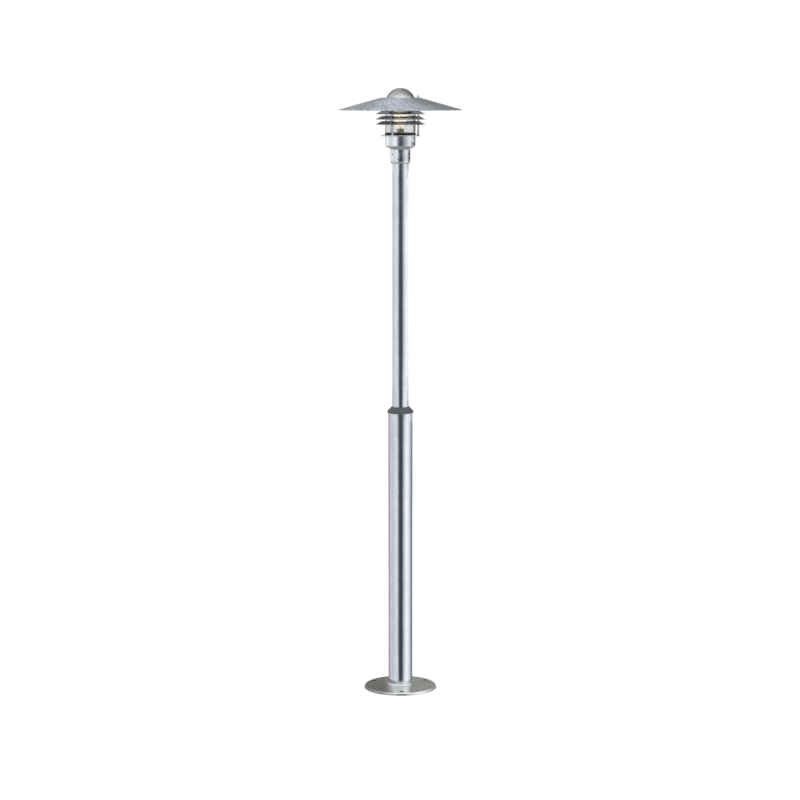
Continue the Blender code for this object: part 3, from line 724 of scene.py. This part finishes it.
# ---------------------------------------------------------- shade and globe
shade_r = rmax("main_shade")
flat_r, rim_z = 70.5, 2123.0
stop = z1("main_shade")
slope = (stop - rim_z) / (shade_r - flat_r)
drop = 1.5 * math.hypot(1.0, slope)
shade = turned("shade_spun", fillet([
    (52.0, stop - 1.5), (flat_r - 0.2, stop - 1.5), (shade_r - 4.2, rim_z + 4.2 * slope - drop),
    (shade_r - 4.2, rim_z - 1.2), (shade_r - 1.2, rim_z - 1.9), (shade_r, rim_z - 1.2),
    (shade_r, rim_z - 0.4), (shade_r - 1.2, rim_z + 0.33), (flat_r + 0.2, stop), (52.0, stop)],
    {0: 0.4, 1: 4.0, 2: 0.4, 3: 0.2, 4: 0.6, 5: 0.4, 6: 0.3, 7: 0.9, 8: 6.0, 9: 0.4}, steps=6),
    288, M["shade"], sharp=50.0)
drill(shade, [((*rod_nodes[t], stop - 8), (*rod_nodes[t], stop + 5), 2.85) for t in "abc"], 24)
stands_for(shade, "shade", "galvanised", "main_shade")

globe_r, globe_top, globe_low = rmax("glass_globe"), z1("glass_globe"), z0("glass_globe")
dome_z = globe_top - globe_r
u0, u1 = z0("upper_glass_seal"), z1("upper_glass_seal")
seal_in = math.sqrt(globe_r ** 2 - (u0 - dome_z) ** 2) + 0.25
stands_for(turned("dome_seal", fillet([
    (seal_in, u0), (57.0, u0), (57.0, u1 + 0.2), (seal_in - 0.9, u1 + 0.2)],
    {0: 0.4, 1: 0.6, 2: 0.4, 3: 0.3}, steps=4), 160, M["rubber"]), "shade", "seal_rubber", "upper_glass_seal")


def quarter(r, z, steps, down=False):
    turns = [math.pi / 2 * k / steps for k in range(steps + 1)]
    if down:
        turns.reverse()
    return [(r * math.cos(a) if a < math.pi / 2 - 1e-9 else 0.0, z + r * math.sin(a)) for a in turns]


wall = 2.6
globe = turned("globe", [
    (globe_r - 1.6, globe_low), (globe_r - 0.5, globe_low + 1.0), (globe_r - 0.1, globe_low + 2.6),
    (globe_r, globe_low + 4.6), *quarter(globe_r, dome_z, 40),
    *quarter(globe_r - wall, dome_z, 40, down=True), (globe_r - wall, globe_low + 4.6),
    (globe_r - wall - 0.3, globe_low + 2.0), (globe_r - wall - 1.2, globe_low)], 192, M["globe"], sharp=60.0)
stands_for(globe, "glass", "clear_glass", "glass_globe")

# ------------------------------------------------------------------ inside
h0, h1 = z0("lampholder_body"), z1("lampholder_body")
stands_for(turned("holder", fillet([
    (3.9, h0), (17.5, h0), (19.0, h0 + 1.5), (19.0, h1 - 1.0), (18.0, h1), (15.2, h1),
    (15.2, h0 + 9.7), (3.9, h0 + 9.7)], {1: 0.8, 2: 0.8, 3: 0.9, 4: 0.9, 5: 0.9}, steps=5),
    96, M["porcelain"], sharp=40.0), "head", "porcelain", "lampholder_body")


def threaded(name, low, high, crest, depth, inner, mat, segs=96, pitch=3.629, steps=10, top=None, foot=None):
    """A thin rolled-thread shell."""
    bm = bmesh.new()
    count = int((high - low) / pitch * steps)
    outline = []
    for k in range(count + 1):
        outline.append((low + (high - low) * k / count, "t"))
    rows = []
    for z, _ in outline:
        fade = min(1.0, (z - low) / 1.5, (high - z) / 1.5)
        row = []
        for k in range(segs):
            a = 2 * math.pi * k / segs
            wave = 0.5 - 0.5 * math.cos(2 * math.pi * (z / pitch - k / segs))
            r = crest - depth * wave * fade - depth * 0.5 * (1 - fade)
            row.append((r * math.cos(a), r * math.sin(a), z))
        rows.append(row)
    ring = lambda r, z: [(r * math.cos(2 * math.pi * k / segs), r * math.sin(2 * math.pi * k / segs), z)
                         for k in range(segs)]
    before = [ring(r, z) for r, z in (foot or [])]
    after = [ring(r, z) for r, z in (top or [])]
    lined = [ring(inner, high), ring(inner, low)]
    if top:
        lined = [ring(r - 0.45, z) for r, z in reversed(top)] + lined
    if foot:
        lined = lined + [ring(max(r - 0.5, 1.0), z + 0.35) for r, z in reversed(foot)]
    verts = [[bm.verts.new(Vector(p) * MM) for p in row] for row in before + rows + after + lined]
    for a, b in zip(verts, verts[1:] + verts[:1]):
        for k in range(segs):
            m = (k + 1) % segs
            bm.faces.new((a[k], a[m], b[m], b[k]))
    return link(name, bm, mat, 60.0)


k0, k1 = z0("bulb_screw_cap"), z1("bulb_screw_cap")
stands_for(threaded("bulb_cap_threaded", k0 + 3.2, k1 - 4.6, 13.15, 0.85, 11.9, M["cap"],
                    foot=[(10.9, k0 + 0.1), (11.3, k0 + 0.3), (12.2, k0 + 1.4)],
                    top=[(13.0, k1 - 4.0), (13.7, k1 - 3.2), (13.85, k1 - 2.4), (13.9, k1)]),
           "bulb", "bulb_cap_metal", "bulb_screw_cap")
stands_for(turned("bulb_vitrite", fillet([
    (4.3, 2028.9), (6.0, 2028.9), (10.4, 2031.7), (10.4, 2033.0), (4.3, 2033.0)],
    {0: 0.4, 1: 1.0, 2: 0.8}, steps=5), 64, M["vitrite"]), "bulb", "black_glass", "bulb_insulator")
stands_for(turned("bulb_tip", [
    (0.0, 2027.9), (1.4, 2028.0), (2.8, 2028.25), (3.6, 2028.7), (4.0, 2029.4), (4.0, 2031.0), (0.0, 2031.0)],
    48, M["tin"], sharp=50.0), "bulb_carrier", "solder_tin", "bulb_tip_contact")

bulb_r, bulb_top = rmax("bulb_glass"), z1("bulb_glass")


def envelope(pull, steps=26):
    round_z = bulb_top - bulb_r
    pts = []
    for k in range(steps + 1):
        t = k / steps
        ease = t * t * (3 - 2 * t)
        pts.append((12.9 + (bulb_r - 12.9) * ease - pull, 2056.6 + (round_z - 2056.6) * t))
    for k in range(1, steps + 1):
        a = math.pi / 2 * k / steps
        pts.append(((bulb_r - pull) * math.cos(a) if k < steps else 0.0,
                    round_z + (bulb_r - pull) * math.sin(a)))
    return pts


stands_for(turned("bulb_envelope", [(12.2, 2053.0), *envelope(0.0), *reversed(envelope(0.7)), (11.5, 2053.0)],
                  96, M["bulbglass"], sharp=60.0), "bulb", "bulb_glass", "bulb_glass")
stands_for(turned("bulb_stem_glass", fillet([
    (0.0, 2053.4), (9.6, 2053.4), (8.4, 2055.6), (4.2, 2061.0), (3.0, 2068.0), (2.7, 2082.0),
    (2.1, 2084.8), (0.0, 2085.6)], {1: 0.8, 2: 3.0, 3: 4.0, 4: 4.0, 5: 0.8}, steps=5),
    48, M["stem"], sharp=60.0), "bulb", "bulb_glass", "bulb_stem")

coil = [(-2.4, 0.0, 2086.4), (-9.0, 0.0, 2093.0)]
for k in range(9):
    x, y = polar(11.0, 180.0 + 180.0 * k / 8.0)
    coil.append((x, y, 2096.0 if k % 2 == 0 else 2114.0))
coil += [(9.0, 0.0, 2093.0), (2.4, 0.0, 2086.4)]
stands_for(swept("filament_cage", coil, 0.6, 12, M["filament"]), "bulb", "filament", "bulb_filament")
stands_for(swept("filament_post", [(0, 0, 2085.2), (0, 0, 2106.0)], 0.5, 10, M["lead"]), "bulb", "filament")
for k in (1, 3, 5, 7):
    x, y = polar(10.6, 180.0 + 180.0 * k / 8.0)
    stands_for(swept("filament_hook_%d" % k, [(0, 0, 2105.4), (x * 0.5, y * 0.5, 2109.5), (x, y, 2113.8)],
                     0.25, 8, M["lead"]), "bulb", "filament")

# --------------------------------------------- CAD nodes that stay, inside
stay = {
    "centring_ring_lower": "inside", "centring_ring_upper": "inside", "supply_cable": "rubber",
    "cable_grommet": "rubber", "lampholder_thread_shell": "brass", "centre_contact": "brass",
    "lampholder_bracket": "inside", "terminal_block": "block", "live_wire": "brown",
    "neutral_wire": "blue", "earth_screw": "steel",
}
for node, key in stay.items():
    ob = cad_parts[node]
    ob.data.materials.clear()
    ob.data.materials.append(M[key])


def earth_sleeving():
    """Green insulation with a yellow stripe."""
    mat, g, bsdf = new_material("earth_sleeving")
    where = g.add("ShaderNodeTexCoord").outputs["Object"]
    stripe = g.add("ShaderNodeTexWave", i_Vector=where, wave_type="BANDS", bands_direction="Y")
    stripe.inputs["Scale"].default_value = 90.0
    col = g.ramp(stripe.outputs[0], [(0.45, (0.06, 0.32, 0.05)), (0.55, (0.75, 0.62, 0.04))])
    put(g, bsdf, Base_Color=col, Roughness=0.42)
    return mat


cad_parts["earth_wire"].data.materials.clear()
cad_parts["earth_wire"].data.materials.append(earth_sleeving())

for ob in (globe, bpy.data.objects["bulb_envelope"], bpy.data.objects["bulb_stem_glass"]):
    ob.visible_shadow = False

# ------------------------------------------------------------ stage and light
world = bpy.data.worlds.new("studio")
bpy.context.scene.world = world
world.use_nodes = True
g = Graph(world.node_tree)
way = g.add("ShaderNodeTexCoord").outputs["Generated"]
split = g.add("ShaderNodeSeparateXYZ", i_0=way)
x, y, z = split.outputs
bearing = g.math("MULTIPLY_ADD", g.math("ARCTAN2", x, g.math("MULTIPLY", y, -1.0)), 0.5 / math.pi, 0.5)


def at(degrees):
    return (degrees + 180.0) / 360.0


def panels(stops, tint=(0.985, 1.0, 1.04), dim=(0.90, 1.0, 1.24)):
    """Light and dark studio panels around the object: (bearing from the camera, brightness)."""
    return g.ramp(bearing, [(at(d), tuple(v * c for c in (tint if v > 0.25 else dim))) for d, v in stops])


def step(value, low, high):
    return g.ramp(value, [(low, 0.0), (high, 1.0)])


round_head = panels([
    (-180, 0.74), (-170, 0.70), (-162, 0.36), (-150, 0.46), (-134, 1.05), (-117, 1.12), (-104, 1.06),
    (-92, 0.80), (-82, 0.66), (-72, 0.70), (-63, 0.82), (-54, 0.98), (-44, 1.14),
    (-32, 1.06), (-22, 0.68), (-15, 0.28), (-8, 0.10), (0, 0.055), (9, 0.058), (16, 0.12), (24, 0.27),
    (36, 0.39), (48, 0.54), (58, 0.72), (77, 0.92), (92, 0.66), (104, 0.28), (118, 0.12),
    (156, 0.07), (167, 0.34), (174, 0.70)])
round_upper = panels([
    (-180, 0.9), (-140, 0.86), (-122, 0.66), (-108, 0.62), (-89, 0.78), (-71, 0.86), (-55, 0.84),
    (-38, 0.74), (-27, 0.42), (-17, 0.16), (-10, 0.085), (3, 0.078), (16, 0.070), (25, 0.12),
    (33, 0.27), (44, 0.60), (59, 0.80), (75, 0.98), (94, 1.12), (116, 1.16), (150, 1.16), (180, 0.9)])
round_lower = panels([
    (-180, 0.8), (-165, 0.62), (-150, 0.45), (-126, 0.40), (-110, 0.66), (-95, 0.74), (-81, 0.64),
    (-68, 0.68), (-56, 0.78), (-42, 0.85), (-30, 0.80), (-22, 0.54), (-15, 0.19), (-8, 0.072),
    (2, 0.062), (12, 0.062), (19, 0.12), (25, 0.32), (31, 0.60), (40, 0.78), (50, 0.98), (62, 1.10),
    (72, 1.10), (84, 0.97), (97, 0.73), (112, 0.46), (131, 0.23), (152, 0.22), (165, 0.5), (180, 0.8)])
behind = g.ramp(bearing, [(at(-180), 1.0), (at(-160), 1.0), (at(-148), 0.0), (at(148), 0.0),
                          (at(160), 1.0), (at(180), 1.0)])
lean = g.ramp(bearing, [(at(-180), 0.50), (at(-176.5), 0.57), (at(-150), 0.57), (at(150), 0.40),
                        (at(176.5), 0.40), (at(180), 0.50)])
height_ramp = g.math("MULTIPLY_ADD", z, 0.5, 0.5)
back_tone = g.ramp(height_ramp, [
    (0.545, (0.40, 0.40, 0.39)), (0.58, (0.37, 0.37, 0.36)), (0.64, (0.35, 0.352, 0.345)),
    (0.70, (0.30, 0.305, 0.31)), (0.738, (0.30, 0.315, 0.335)), (0.755, (0.44, 0.46, 0.50)),
    (0.778, (0.88, 0.92, 0.99)), (1.0, (0.98, 0.99, 1.0))])
back_wall = g.mix(1.0, back_tone, g.math("MULTIPLY", lean, 2.0), "MULTIPLY")
sky = g.ramp(height_ramp, [(0.75, (0.74, 0.77, 0.83)), (1.0, (0.98, 0.99, 1.0))])
ground = g.ramp(height_ramp, [(0.0, (0.34, 0.34, 0.335)), (0.30, (0.38, 0.38, 0.375))])
round_plate = panels([
    (-180, 0.60), (-150, 0.52), (-104, 0.66), (-60, 0.84), (-43, 0.92), (-16, 0.84), (0, 0.74), (14, 0.80),
    (36, 1.05), (58, 1.15), (76, 0.95), (96, 0.62), (122, 0.34), (150, 0.32), (180, 0.60)])
front_high = g.mix(step(z, 0.40, 0.56), round_plate, sky)
room = g.mix(step(z, 0.010, 0.030), round_head, g.mix(behind, front_high, back_wall))
down = g.math("MULTIPLY", z, -1.0)
room = g.mix(step(down, 0.0329, 0.0341), room, round_upper)
room = g.mix(step(down, 0.125, 0.142), room, round_lower)
room = g.mix(step(down, 0.36, 0.46), room, ground)
camera_ray = g.add("ShaderNodeLightPath").outputs["Is Camera Ray"]
seen = g.add("ShaderNodeBackground", i_Color=(1.0, 1.0, 1.0, 1.0), i_Strength=1.0)
lit = g.add("ShaderNodeBackground", i_Strength=1.0)
g.tree.links.new(room, lit.inputs["Color"])
pick = g.add("ShaderNodeMixShader", i_0=camera_ray)
g.tree.links.new(lit.outputs[0], pick.inputs[1])
g.tree.links.new(seen.outputs[0], pick.inputs[2])
end = g.add("ShaderNodeOutputWorld")
g.tree.links.new(pick.outputs[0], end.inputs["Surface"])

floor_mesh = bpy.data.meshes.new("floor")
bm = bmesh.new()
bmesh.ops.create_circle(bm, cap_ends=True, segments=96, radius=4.0)
bmesh.ops.translate(bm, verts=bm.verts, vec=(0, 0, -0.0005))
bm.to_mesh(floor_mesh)
bm.free()
floor = bpy.data.objects.new("floor", floor_mesh)
bpy.context.scene.collection.objects.link(floor)
fmat, fg, fb = new_material("pale_floor")
grain = fg.add("ShaderNodeTexNoise", i_Vector=fg.add("ShaderNodeTexCoord").outputs["Object"])
grain.inputs["Scale"].default_value = 3.0
spot = fg.add("ShaderNodeSeparateXYZ", i_0=fg.add("ShaderNodeTexCoord").outputs["Object"])
away = fg.math("SQRT", fg.math("ADD", fg.math("MULTIPLY", spot.outputs[0], spot.outputs[0]),
                               fg.math("MULTIPLY", spot.outputs[1], spot.outputs[1])))
# painted shadow: within 0.128 m of the post the floor is near black and does not glow, standing in for the shade
# under the dished base plate
beyond_painted_shadow = fg.ramp(away, [(0.128, 0.0), (0.136, 1.0)])
put(fg, fb, Base_Color=fg.mix(beyond_painted_shadow, (0.02, 0.02, 0.02),
                              fg.mix(grain.outputs[0], (0.93, 0.93, 0.93), (0.96, 0.96, 0.96))),
    Roughness=0.9, Emission_Color=fg.mix(beyond_painted_shadow, (0.0, 0.0, 0.0), (1.0, 1.0, 1.0)))
fb.inputs["Emission Strength"].default_value = 0.35
floor_mesh.materials.append(fmat)
floor.visible_glossy = False

lamp = bpy.data.lights.new("bulb_light", "POINT")
lamp.energy = 0.026
lamp.color = (1.0, 0.84, 0.62)
lamp.shadow_soft_size = 0.012
lamp_ob = bpy.data.objects.new("bulb_light", lamp)
lamp_ob.location = (0.0, 0.0, 2.096)
lamp_ob.visible_camera = False
lamp_ob.visible_transmission = False
bpy.context.scene.collection.objects.link(lamp_ob)

# --------------------------------------------------------------------- camera
cam = bpy.data.cameras.new("camera")
cam.sensor_width = 36.0
cam.lens = 105.8
cam.clip_end = 60.0
cam_ob = bpy.data.objects.new("camera", cam)
cam_ob.location = (-0.0014, -8.5, 2.2135)
cam_ob.rotation_euler = (math.radians(90.0 - 7.651), 0.0, 0.0)
bpy.context.scene.collection.objects.link(cam_ob)
bpy.context.scene.camera = cam_ob
bpy.context.scene.view_settings.view_transform = "Standard"
